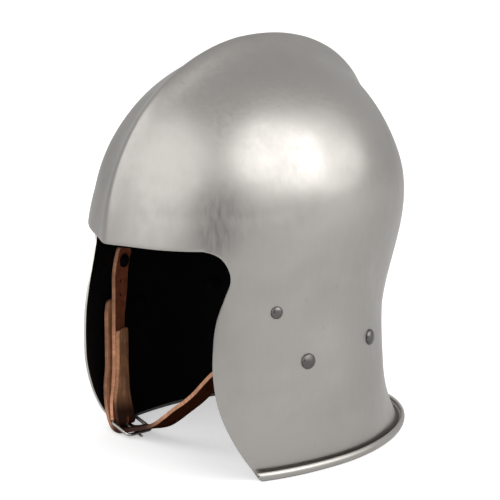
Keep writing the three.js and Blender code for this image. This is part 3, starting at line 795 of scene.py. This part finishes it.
def wear_group():
    """Broad cloudy tone, fine polishing marks and small pits, as on any handled metal or paint."""
    def draw(graph, given):
        place = given["Place"]
        cloud = graph.noise(place, given["Cloud Scale"], 4, 0.55)
        drawn_out = graph.stretched(place, (1, 1, 0.09), (0.35, 0.5, 0))
        marks = graph.noise(drawn_out, given["Mark Scale"], 3, 0.6)
        pits = graph.noise(place, given["Pit Scale"], 2, 0.5)
        return graph.span(cloud, 0.34, 0.66), marks, graph.span(pits, 0.72, 0.84)

    scales = {"Cloud Scale": 14.0, "Mark Scale": 320.0, "Pit Scale": 90.0}
    return surface_group("handled_surface", scales, ("Cloud", "Marks", "Pits"), draw)


def leather_group():
    """Pores, creases along the strap and cloudy handling, in metres along and across the strap."""
    def draw(graph, given):
        place = given["Place"]
        cloud = graph.noise(place, 110.0, 3, 0.6)
        streaks = graph.noise(graph.stretched(place, (0.08, 1, 1)), given["Streak Scale"], 4, 0.6)
        cells = graph.add("TexVoronoi", {"Vector": place, "Scale": given["Pore Scale"]}, "Distance",
                          feature="DISTANCE_TO_EDGE")
        return graph.span(cloud, 0.32, 0.68), graph.span(streaks, 0.36, 0.64), graph.span(cells, 0.0, 0.18)

    scales = {"Pore Scale": 1300.0, "Streak Scale": 420.0}
    return surface_group("strap_leather_surface", scales, ("Cloud", "Streaks", "Pores"), draw)


def scaled(colour, factor):
    return tuple(min(channel * factor, 1) for channel in colour)


def clouded(graph, cloud, colour, tones):
    """A colour that a cloud makes dimmer and brighter."""
    return graph.mix(cloud, scaled(colour, tones.dim), scaled(colour, tones.bright))


def metal_material(metal, colour):
    """Handled steel: cloudy tone, uneven gloss and fine marks."""
    material, graph = new_material(metal.name, colour)
    wear = graph.surface(wear_group(), graph.object_place(), {
        "Cloud Scale": metal.clouds, "Mark Scale": metal.marks, "Pit Scale": metal.clouds * PITS_PER_CLOUD})
    tone = clouded(graph, wear["Cloud"], colour, METAL_TONES)
    half = metal.spread / 2
    gloss = graph.span(wear["Cloud"], 0.0, 1.0, metal.rough + half, metal.rough - half)
    graph.shade({
        "Base Color": graph.mix(wear["Pits"], tone, scaled(colour, METAL_TONES.pit)),
        "Roughness": graph.math("ADD", gloss, graph.span(wear["Marks"], 0.3, 0.7, -half, half)),
        "Normal": graph.bump(wear["Marks"], metal.depth, 0.6),
        "Metallic": 1,
    })
    return material


def painted_shade_share(graph, place, stretch):
    """How much painted shade the leather takes at the buckle: it darkens, stays dark and clears at four
    lengths along the strap.
    """
    along = graph.add("SeparateXYZ", {"Vector": place}, "X")
    starts, full, ends, clear = (float(walked) for walked in stretch)
    rising = graph.span(along, starts, full)
    return graph.math("MULTIPLY", rising, graph.span(along, ends, clear, 1.0, 0.0))


def leather_material(leather, finish, stretch):
    """Strap leather, its grain laid along the strap, with a stretch of painted shade at the buckle."""
    colour = scaled(getattr(finish, leather.colour), leather.share)
    material, graph = new_material(leather.name, colour)
    place = graph.add("UVMap", {}, "UV")
    skin = graph.surface(leather_group(), place, {})
    tone = clouded(graph, skin["Cloud"], colour, LEATHER_TONES)
    streaks = graph.math("MULTIPLY", skin["Streaks"], leather.streaks)
    tone = graph.mix(streaks, tone, scaled(colour, STREAK_TONE))
    pores = graph.span(skin["Pores"], 0.0, 1.0, PORE_STRENGTH, 0.0)
    tone = graph.mix(pores, tone, scaled(colour, LEATHER_TONES.pit))
    # Painted shade: the stretch of leather at the buckle darkens towards this colour
    if leather.handled:
        tone = graph.mix(painted_shade_share(graph, place, stretch), tone, PAINTED_SHADE_COLOUR)
    dull, glossy = leather.rough + LEATHER_GLOSS_SWING, leather.rough - LEATHER_GLOSS_SWING
    graph.shade({
        "Base Color": tone,
        "Roughness": graph.span(skin["Cloud"], 0.0, 1.0, dull, glossy),
        "Normal": graph.bump(graph.math("ADD", skin["Pores"], skin["Streaks"]), leather.pores, 0.7),
        "Specular IOR Level": leather.mirror,
    })
    return material


def paint_material(name, colour):
    """Blackened inside: dull, with hammer marks and a few rubbed patches."""
    material, graph = new_material(name, colour)
    wear = graph.surface(wear_group(), graph.object_place(), {
        "Cloud Scale": 38.0, "Mark Scale": 240.0, "Pit Scale": 150.0})
    graph.shade({
        "Base Color": graph.mix(wear["Pits"], colour, scaled(colour, 3)),
        "Roughness": graph.span(wear["Cloud"], 0.0, 1.0, 0.9, 0.7),
        "Normal": graph.bump(wear["Cloud"], 0.0004, 0.5),
        "Specular IOR Level": 0.12,
    })
    return material


def floor_material(name, colour):
    """Pale matt floor with the faintest mottling."""
    material, graph = new_material(name, colour)
    mottle = graph.noise(graph.object_place(), 6.0, 3)
    seen = graph.add("LightPath", {}, "Is Camera Ray")
    graph.shade({
        "Base Color": clouded(graph, mottle, colour, FLOOR_TONES),
        "Roughness": 0.9,
        "Specular IOR Level": 0.1,
        "Emission Color": (1, 1, 1),
        "Emission Strength": graph.math("MULTIPLY", seen, FLOOR_GLOW),
    })
    return material


def hammer(piece, sizes):
    """Leaves broad and fine hammer marks and a few knocks in the sheet, along its normals."""
    finer, fine_depth, fade_height = 2.3, 0.5, 0.02
    vertices = piece.data.vertices
    places = np.empty(3 * len(vertices))
    vertices.foreach_get("co", places)
    places = places.reshape(-1, 3)
    normals = np.array([vertex.vector for vertex in piece.data.vertex_normals])
    spread = 1 / sizes.hammer_width
    marks = [noise.noise(Vector(place) * spread) + fine_depth * noise.noise(Vector(place) * spread * finer)
             for place in places]
    depth = sizes.hammer_depth * np.array(marks)
    for knock in KNOCKS:
        gap = np.linalg.norm(places - np.array(knock[:3]) * MM, axis=1) / (knock.radius * MM)
        depth -= knock.depth * MM * np.exp(-gap ** 2)
    keep = np.clip(places[:, 2] / fade_height, 0, 1)
    moved = places + normals * (depth * keep)[:, None]
    vertices.foreach_set("co", moved.ravel())
    piece.data.update()


class HELMET_OT_shell(bpy.types.Operator):
    """Raise the steel shell: skull, comb, brow, cheeks, nape and rolled rim"""
    bl_idname = "helmet.raise_shell"
    bl_label = "Raise the shell"
    ROLL_TOP = 2.2
    BARE_BELOW = 0.9

    def execute(self, context):
        sizes = context.scene.helmet_shell
        grid = ShellGrid(sizes)
        shell, row, column = add_grid("raised_shell", grid.points() * MM)
        in_opening = (row > grid.brow_row) & (column < grid.corner_column)

        def open_face():
            select_faces(shell, lambda face: any(in_opening[vertex.index] for vertex in face.verts))
            bpy.ops.mesh.delete(type="FACE")

        edit(shell, open_face)
        add_modifier(shell, "other_side", "MIRROR", use_axis=(True, False, False), merge_threshold=1e-5)
        merge_and_turn_out(shell)
        crown = max(shell.data.polygons, key=lambda face: face.center.z)
        if crown.normal.z < 0:
            edit(shell, bpy.ops.mesh.flip_normals)
        hammer(shell, sizes)
        self.give_thickness(shell, sizes, context.scene.helmet_finish)
        check_closed(shell)
        finish_piece(shell, "helmet_shell", 50)
        return {"FINISHED"}

    def give_thickness(self, shell, sizes, finish):
        """Gives the sheet its wall and rounds its free edges. The inside is blackened, the roll is bare."""
        steel = metal_material(SHEET_METAL._replace(rough=finish.steel_roughness), finish.steel)
        # The free edges are lighter: bright filed steel and a painted highlight
        edge = metal_material(FILED_METAL, scaled(finish.steel, FILED_AND_HIGHLIGHT_BRIGHTNESS))
        for material in (steel, paint_material("blackened_inside", finish.paint), edge):
            shell.data.materials.append(material)
        thicken(shell, "sheet", sizes.wall, -1)
        for face in shell.data.polygons:
            outward = face.normal.x * face.center.x + face.normal.y * face.center.y > 0
            height = face.center.z / sizes.roll_radius
            if face.material_index == 1 and height < self.ROLL_TOP and (outward or height < self.BARE_BELOW):
                face.material_index = 0
        soften(shell, "filed_edges", sizes.rim_round, 3, 52, 2)


class HELMET_OT_rivets(bpy.types.Operator):
    """Set the six domed rivets with their washers and peened ends"""
    bl_idname = "helmet.set_rivets"
    bl_label = "Set the rivets"
    PEEN_FOOT, PEEN_TOP = 1.5, 0.65
    ROUGH_SCALE, ROUGHNESS = 700, 0.035
    BASE, DOME, FACES_DOWN = 0.01, 0.1, -0.9
    WORN_EDGE = 0.00025
    TURN = 1.9

    def execute(self, context):
        fittings = context.scene.helmet_fittings
        finish = context.scene.helmet_finish
        surface = ShellSurface(context.scene.helmet_shell)
        steel = metal_material(RIVET_METAL, finish.rivet_steel)
        black = paint_material("blackened_washers", finish.paint)
        for rivet in RIVETS:
            model = self.forge(rivet, fittings)
            model.data.materials.append(steel)
            model.data.materials.append(black)
            for face in model.data.polygons:
                face.material_index = int(face.center.z < -fittings.washer_thick)
            point, normal = surface.seat(rivet.y, rivet.z)
            for side, word in ((1, "left"), (-1, "right")):
                piece = model.copy()
                piece.data = model.data.copy()
                piece.name = f"{rivet.name}_{word}_domed"
                context.scene.collection.objects.link(piece)
                mirror = np.array([side, 1, 1])
                turn = Vector((0, 0, 1)).rotation_difference(Vector(normal * mirror)).to_matrix().to_4x4()
                spin = Matrix.Rotation(self.TURN * side + rivet.z, 4, "Z")
                piece.data.transform(Matrix.Translation(Vector(point * mirror) * MM) @ turn @ spin)
                finish_piece(piece, f"{rivet.name}_{word}", 40)
            bpy.data.objects.remove(model)
        return {"FINISHED"}

    def forge(self, rivet, fittings):
        """One rivet at the origin, its head up: half a ball, then the shank, washer and peened end below."""
        head, washer, shank = rivet.head * MM, rivet.washer * MM, fittings.shank_radius
        deselect()
        bpy.ops.mesh.primitive_uv_sphere_add(segments=36, ring_count=18, radius=head)
        model = new_object(rivet.name)
        bpy.ops.object.mode_set(mode="EDIT")
        bpy.context.tool_settings.mesh_select_mode = (False, False, True)
        bpy.ops.mesh.select_all(action="SELECT")
        bpy.ops.mesh.bisect(plane_co=(0, 0, self.BASE * head), plane_no=(0, 0, 1), use_fill=True,
                            clear_inner=True)
        bpy.ops.mesh.select_all(action="SELECT")
        self.resize(1, rivet.dome * MM / head)
        select_faces(model, lambda face: face.normal.z < self.FACES_DOWN)
        bpy.ops.mesh.inset(thickness=head - shank)
        self.draw_down(rivet.through * MM)
        self.draw_down(0)
        self.resize(washer / shank)
        self.draw_down(fittings.washer_thick)
        bpy.ops.mesh.inset(thickness=washer - self.PEEN_FOOT * shank)
        self.draw_down(fittings.peen_high)
        self.resize(self.PEEN_TOP)
        bpy.ops.object.mode_set(mode="OBJECT")
        for vertex in model.data.vertices:
            rough = noise.noise(vertex.co * self.ROUGH_SCALE + Vector((rivet.z, 0, 0)))
            if vertex.co.z > self.DOME * head or vertex.co.z < -rivet.through * MM:
                vertex.co *= 1 + self.ROUGHNESS * rough
        soften(model, "worn_edges", self.WORN_EDGE, 2, 35)
        merge_and_turn_out(model)
        check_closed(model)
        return model

    def draw_down(self, depth):
        bpy.ops.mesh.extrude_region_move(TRANSFORM_OT_translate={"value": (0, 0, -depth)})

    def resize(self, wide, high=1):
        bpy.ops.transform.resize(value=(wide, wide, high), center_override=(0, 0, 0))


class Ribbon:
    """A strap's centre line in metres, with the directions along it, across it and up out of its face."""
    STEP = 1.4
    CURVE_STEPS = 24

    def __init__(self, stations):
        line = np.array([station[:3] for station in stations], float)
        smooth = self.smooth(line)
        walked = run_lengths(smooth)
        at = np.linspace(0, walked[-1], int(walked[-1] / self.STEP) + 1)
        self.points = resample(smooth, at) * MM
        self.walked = at * MM
        self.station_walk = walked[np.arange(len(stations)) * self.CURVE_STEPS] * MM
        turns = np.radians([station[3:] for station in stations]).T
        angle, lowered = (np.interp(self.walked, self.station_walk, turn) for turn in turns)
        self.along = unit(np.gradient(self.points, axis=0))
        level = np.cos(lowered)
        across = np.stack([-np.sin(angle) * level, np.cos(angle) * level, -np.sin(lowered)], axis=1)
        self.across = unit(across - self.along * (across * self.along).sum(1, keepdims=True))
        self.up = np.cross(self.along, self.across)

    def smooth(self, line):
        """A centripetal curve through the stations, which never loops where they stand unevenly."""
        ends = np.vstack([2 * line[0] - line[1], line, 2 * line[-1] - line[-2]])
        found = []
        for before, a, b, after in zip(ends, ends[1:], ends[2:], ends[3:]):
            k0, k1, k2 = (math.sqrt(np.linalg.norm(q - p)) for p, q in ((before, a), (a, b), (b, after)))
            leave = ((a - before) / k0 - (b - before) / (k0 + k1) + (b - a) / k1) * k1
            arrive = ((b - a) / k1 - (after - a) / (k1 + k2) + (after - b) / k2) * k1
            found.append(bridge(a, b, leave, arrive, self.CURVE_STEPS))
        return np.vstack(found + [line[-1:]])

    def nearest(self, point):
        """The place along the strap that is nearest a point."""
        return np.argmin(np.linalg.norm(self.points - np.array(point), axis=1))

    def place_of(self, hole):
        """The place along the strap where a height is first passed after a station."""
        later = np.nonzero(self.walked >= self.station_walk[hole.after])[0]
        away = (self.points[later, 2] - hole.z * MM)
        crossed = np.nonzero(away[1:] * away[:-1] <= 0)[0][0]
        return later[crossed]


def narrowed(walked, reach, least):
    """Share of the full width near an end, growing from the least share over a reach."""
    return least + (1 - least) * np.sqrt(np.clip(walked / reach, 0, 1))


def strap_points(ribbon, fittings, free_end):
    """Rows of points across the strap, its ends rounded off."""
    columns, cut_corner, start_share, cut_share, tip_share = 13, 0.3, 0.85, 0.8, 0.4
    across = np.linspace(-1, 1, columns)
    tip, corner = fittings.tip_length, cut_corner * fittings.tip_length
    left = ribbon.walked[-1] - ribbon.walked
    end = narrowed(left, tip, tip_share) if free_end else narrowed(left, corner, cut_share)
    half = fittings.strap_width / 2 * end * narrowed(ribbon.walked, corner, start_share)
    width = half[:, None, None] * across[None, :, None] * ribbon.across[:, None, :]
    cup = fittings.strap_cup * (across ** 2 - 0.5)[None, :, None] * ribbon.up[:, None, :]
    return ribbon.points[:, None, :] + width + cup


def cut_strap(name, ribbon, fittings, free_end):
    """A flat strap along its ribbon, laid out in metres along and across."""
    points = strap_points(ribbon, fittings, free_end)
    strap, row, column = add_grid(name, points)
    uv = strap.data.uv_layers.active or strap.data.uv_layers.new(name="UVMap")
    along, across = ribbon.walked[row], column * fittings.strap_width / (points.shape[1] - 1)
    for loop in strap.data.loops:
        uv.data[loop.index].uv = (along[loop.vertex_index], across[loop.vertex_index])
    merge_and_turn_out(strap)
    middle = strap.data.polygons[len(strap.data.polygons) // 2]
    if middle.normal.dot(Vector(ribbon.up[ribbon.nearest(middle.center)])) < 0:
        edit(strap, bpy.ops.mesh.flip_normals)
    return strap


def cut_round(strap, radius, depth, sides, place):
    """Cuts a round way through a strap, its axis laid by a matrix."""
    deselect()
    bpy.ops.mesh.primitive_cylinder_add(vertices=sides, radius=radius, depth=depth)
    cutter = new_object("punch")
    cutter.data.transform(place)
    cut_away(strap, "way", cutter)


def punch(strap, ribbon, at, fittings):
    """Punches a round hole across a strap at a place along it."""
    axes = Matrix((ribbon.along[at], ribbon.across[at], ribbon.up[at])).transposed().to_4x4()
    place = Matrix.Translation(Vector(ribbon.points[at])) @ axes
    right_through = 4 * fittings.strap_thick
    cut_round(strap, fittings.hole_radius, right_through, 20, place)


def slot(strap, way):
    """Cuts a way for the prong, as wide as it is named and reaching round its middle."""
    middle = Matrix.Translation(Vector((way.x, BUCKLE.y, way.z)) * MM)
    cut_round(strap, way.reach * MM, way.width * MM, 32, middle @ Matrix.Rotation(math.pi / 2, 4, "X"))


def arc(radius, start, end, count):
    """Points round the hinge bar, between angles in degrees."""
    return [(HINGE[0] + radius * math.cos(angle), HINGE[1], HINGE[2] + radius * math.sin(angle))
            for angle in np.radians(np.linspace(start, end, count))]


class HELMET_OT_straps(bpy.types.Operator):
    """Cut the two leather lengths of the chin strap"""
    bl_idname = "helmet.cut_straps"
    bl_label = "Cut the chin strap"

    def execute(self, context):
        fittings = context.scene.helmet_fittings
        loop_radius = (fittings.wire_radius + fittings.strap_thick / 2) / MM + LOOP_GAP
        fold = [Station(*point, 0) for point in arc(loop_radius, *FOLD)]
        first_fold, first_flap = len(BUCKLE_STRAP), len(BUCKLE_STRAP) + len(fold)
        # Painted shade on the buckle length: it darkens before the fold, stays dark round it and clears on
        # the flap
        handled = (first_fold - 1, first_fold, first_flap, first_flap + 2)
        self.cut(context, BUCKLE_LENGTH, BUCKLE_STRAP + fold + FLAP, handled, first_fold)
        self.cut(context, LONG_LENGTH, LONG_STRAP, LONG_STRAP_PAINTED_SHADE)
        return {"FINISHED"}

    def cut(self, context, length, stations, handled, shaded_edges_after=None):
        """One length with its three leathers, its holes and its way for the prong."""
        fittings, finish = context.scene.helmet_fittings, context.scene.helmet_finish
        ribbon = Ribbon(stations)
        strap = cut_strap(length.name, ribbon, fittings, length.free_end)
        stretch = ribbon.station_walk[list(handled)]
        for leather in length.leathers:
            strap.data.materials.append(leather_material(leather, finish, stretch))
        thicken(strap, "leather", fittings.strap_thick, 0)
        soften(strap, "soft_edges", LEATHER_EDGE, 3, 50, 2)
        # Past the fold the edges take the inner side's darker leather: painted shade on the flap's edges
        if shaded_edges_after is not None:
            for face in strap.data.polygons:
                if ribbon.walked[ribbon.nearest(face.center)] > ribbon.station_walk[shaded_edges_after]:
                    face.material_index = min(face.material_index, 1)
        for hole in length.holes:
            punch(strap, ribbon, ribbon.place_of(hole), fittings)
        slot(strap, length.way)
        check_closed(strap)
        finish_piece(strap, length.node, 45)


def add_wire(name, path, radius, closed):
    """Round wire along a path in metres that lies in a plane across the buckle, its ends rounded if open."""
    if closed:
        along = unit(np.roll(path, -1, axis=0) - np.roll(path, 1, axis=0))
        centre = path.mean(axis=0)
        plane = unit(np.cross(path[len(path) // 4] - centre, path[0] - centre))
        reach = np.full(len(path), radius)
    else:
        along = unit(np.gradient(path, axis=0))
        plane = ACROSS
        left = np.minimum(run_lengths(path), run_lengths(path[::-1])[::-1])
        reach = radius * np.sqrt(1 - (1 - np.clip(left / radius, 0, 1)) ** 2)
    side = unit(np.cross(np.broadcast_to(plane, along.shape), along))
    angle = np.linspace(0, 2 * math.pi, WIRE_SIDES + 1)
    ring = np.cos(angle)[None, :, None] * plane + np.sin(angle)[None, :, None] * side[:, None, :]
    points = path[:, None, :] + reach[:, None, None] * ring
    if closed:
        points = np.concatenate([points, points[:1]])
    wire, _, _ = add_grid(name, points)
    merge_and_turn_out(wire)
    check_closed(wire)
    return wire


class HELMET_OT_buckle(bpy.types.Operator):
    """Bend the wire buckle and its prong"""
    bl_idname = "helmet.bend_buckle"
    bl_label = "Bend the buckle"
    FRAME_STEPS, PRONG_STEPS, CORNER_STEPS = 120, 160, 13

    def execute(self, context):
        fittings = context.scene.helmet_fittings
        steel = metal_material(BUCKLE_METAL, context.scene.helmet_finish.buckle_steel)
        frame_wire = add_wire("buckle_frame_wire", self.frame_path(fittings), fittings.wire_radius, True)
        prong = add_wire("buckle_prong_wire", self.prong_path(fittings), fittings.prong_radius, False)
        for piece, node in ((frame_wire, "buckle_frame"), (prong, "buckle_prong")):
            piece.data.materials.append(steel)
            finish_piece(piece, node, 60)
        return {"FINISHED"}

    def frame_path(self, fittings):
        """A rectangle with round corners between the hinge bar and the rest bar."""
        hinge = np.array(HINGE)
        along = np.array([BUCKLE.rest_x, BUCKLE.y, BUCKLE.rest_z]) - hinge
        length = np.linalg.norm(along)
        along = along / length
        corner = BUCKLE.corner
        far, near = length - corner, corner
        wide = BUCKLE.inside / 2 + fittings.wire_radius / MM - corner
        outline = [
            hinge + along * (a + corner * math.cos(turn)) + ACROSS * (b + corner * math.sin(turn))
            for a, b, start in ((far, wide, 0), (near, wide, 90), (near, -wide, 180), (far, -wide, 270))
            for turn in np.radians(np.linspace(start, start + 90, self.CORNER_STEPS))
        ]
        outline = np.array(outline + outline[:1])
        steps = np.linspace(0, run_lengths(outline)[-1], self.FRAME_STEPS, endpoint=False)
        return resample(outline, steps) * MM

    def prong_path(self, fittings):
        """An eye round the hinge bar, then a straight pin whose tip passes under the rest bar."""
        turn_radius = (fittings.wire_radius + fittings.prong_radius) / MM + PRONG.gap
        eye = arc(turn_radius, PRONG.eye_start, PRONG.eye_end, PRONG.eye_steps)
        ends = (BUCKLE.rest_x, BUCKLE.rest_x + PRONG.past)
        outline = np.array(eye + [(x, BUCKLE.y, BUCKLE.rest_z - turn_radius) for x in ends])
        return resample(outline, np.linspace(0, run_lengths(outline)[-1], self.PRONG_STEPS)) * MM


def add_object(context, name, data):
    """A camera or light in the scene."""
    added = bpy.data.objects.new(name, data)
    context.scene.collection.objects.link(added)
    return added


def direction(azimuth, elevation):
    """The way out from the helmet: round from its front to the wearer's left, and up."""
    flat = math.cos(elevation)
    return Vector((math.sin(azimuth) * flat, -math.cos(azimuth) * flat, math.sin(elevation)))


class HELMET_OT_stage(bpy.types.Operator):
    """Lay the floor, hang the soft lights and stand the camera"""
    bl_idname = "helmet.light_stage"
    bl_label = "Set the stage"

    def execute(self, context):
        self.floor(context)
        self.camera(context)
        self.lights(context)
        self.flag()
        self.world(context)
        context.scene.view_settings.view_transform = "Standard"
        return {"FINISHED"}

    def floor(self, context):
        deselect()
        bpy.ops.mesh.primitive_plane_add(size=60)
        floor = new_object("floor")
        floor.data.materials.append(floor_material("pale_floor", context.scene.helmet_finish.floor))

    def camera(self, context):
        """Looks at the aim from the photograph's angle."""
        stage = context.scene.helmet_stage
        back = direction(stage.azimuth, stage.elevation)
        right = Vector((math.cos(stage.azimuth), math.sin(stage.azimuth), 0))
        up = back.cross(right)
        turned_right = right * math.cos(stage.roll) + up * math.sin(stage.roll)
        turned_up = up * math.cos(stage.roll) - right * math.sin(stage.roll)
        data = bpy.data.cameras.new("camera")
        data.lens = stage.lens
        data.sensor_width = 36
        data.clip_end = 100
        camera = add_object(context, "camera", data)
        axes = Matrix((turned_right, turned_up, back)).transposed().to_4x4()
        camera.matrix_world = Matrix.Translation(Vector(stage.aim) + back * stage.distance) @ axes
        context.scene.camera = camera

    def lights(self, context):
        """Softboxes that the camera doesn't see, turned to the middle of the helmet."""
        middle = (CAD_BOX[0] + CAD_BOX[1]) / 2
        for box in SOFTBOXES:
            away = direction(math.radians(box.azimuth), math.radians(box.elevation))
            data = bpy.data.lights.new(box.name, "AREA")
            data.shape = "DISK"
            data.size = box.size
            data.energy = box.power
            light = add_object(context, box.name, data)
            light.location = Vector(middle) + away * box.distance
            light.rotation_euler = away.to_track_quat("Z", "Y").to_euler()
            light.visible_camera = False

    def flag(self):
        """A tall dark card that only the steel mirrors, which draws the dim stripe down the left side."""
        deselect()
        bpy.ops.mesh.primitive_plane_add(size=1)
        card = new_object("flag")
        away = direction(math.radians(FLAG.azimuth), 0)
        turn = away.to_track_quat("Z", "Y").to_matrix().to_4x4()
        middle = Matrix.Translation(away * FLAG.distance + Vector((0, 0, FLAG.height)))
        card.data.transform(middle @ turn @ Matrix.Diagonal((FLAG.width, FLAG.length, 1, 1)))
        grey = (FLAG.grey,) * 3
        material, graph = new_material("black_card", grey)
        graph.shade({"Base Color": grey, "Roughness": 1})
        card.data.materials.append(material)
        card.visible_camera = False
        card.visible_shadow = False
        card.visible_diffuse = False

    def world(self, context):
        """Pale to the camera, dimmer in the reflections."""
        world = bpy.data.worlds.new("studio")
        context.scene.world = world
        world.use_nodes = True
        graph = Graph(world.node_tree)
        seen = graph.add("LightPath", {}, "Is Camera Ray")
        graph.feed(graph.nodes["Background"].inputs["Color"], graph.mix(seen, WORLD_MIRRORED, WORLD_SEEN))


class HELMET_PT_panel(bpy.types.Panel):
    """Sizes, finishes and the making of the helmet"""
    bl_idname = "HELMET_PT_panel"
    bl_label = "Sallet Helmet"
    bl_space_type = "VIEW_3D"
    bl_region_type = "UI"
    bl_category = "Helmet"

    def draw(self, context):
        for kind in OPERATORS:
            self.layout.operator(kind.bl_idname)
        for name in SETTINGS:
            box = self.layout.box()
            group = getattr(context.scene, name)
            for key in type(group).__annotations__:
                box.prop(group, key)


OPERATORS = (HELMET_OT_stage, HELMET_OT_shell, HELMET_OT_rivets, HELMET_OT_straps, HELMET_OT_buckle)
SETTINGS = {
    "helmet_shell": ShellSizes,
    "helmet_fittings": FittingSizes,
    "helmet_finish": FinishSettings,
    "helmet_stage": StageSettings,
}
CLASSES = (*SETTINGS.values(), *OPERATORS, HELMET_PT_panel)


def register():
    for kind in CLASSES:
        bpy.utils.register_class(kind)
    for name, kind in SETTINGS.items():
        setattr(bpy.types.Scene, name, bpy.props.PointerProperty(type=kind))


def unregister():
    for name in SETTINGS:
        delattr(bpy.types.Scene, name)
    for kind in reversed(CLASSES):
        bpy.utils.unregister_class(kind)


def main():
    register()
    bpy.ops.helmet.light_stage()
    bpy.ops.helmet.raise_shell()
    bpy.ops.helmet.set_rivets()
    bpy.ops.helmet.cut_straps()
    bpy.ops.helmet.bend_buckle()


if __name__ == "__main__":
    main()
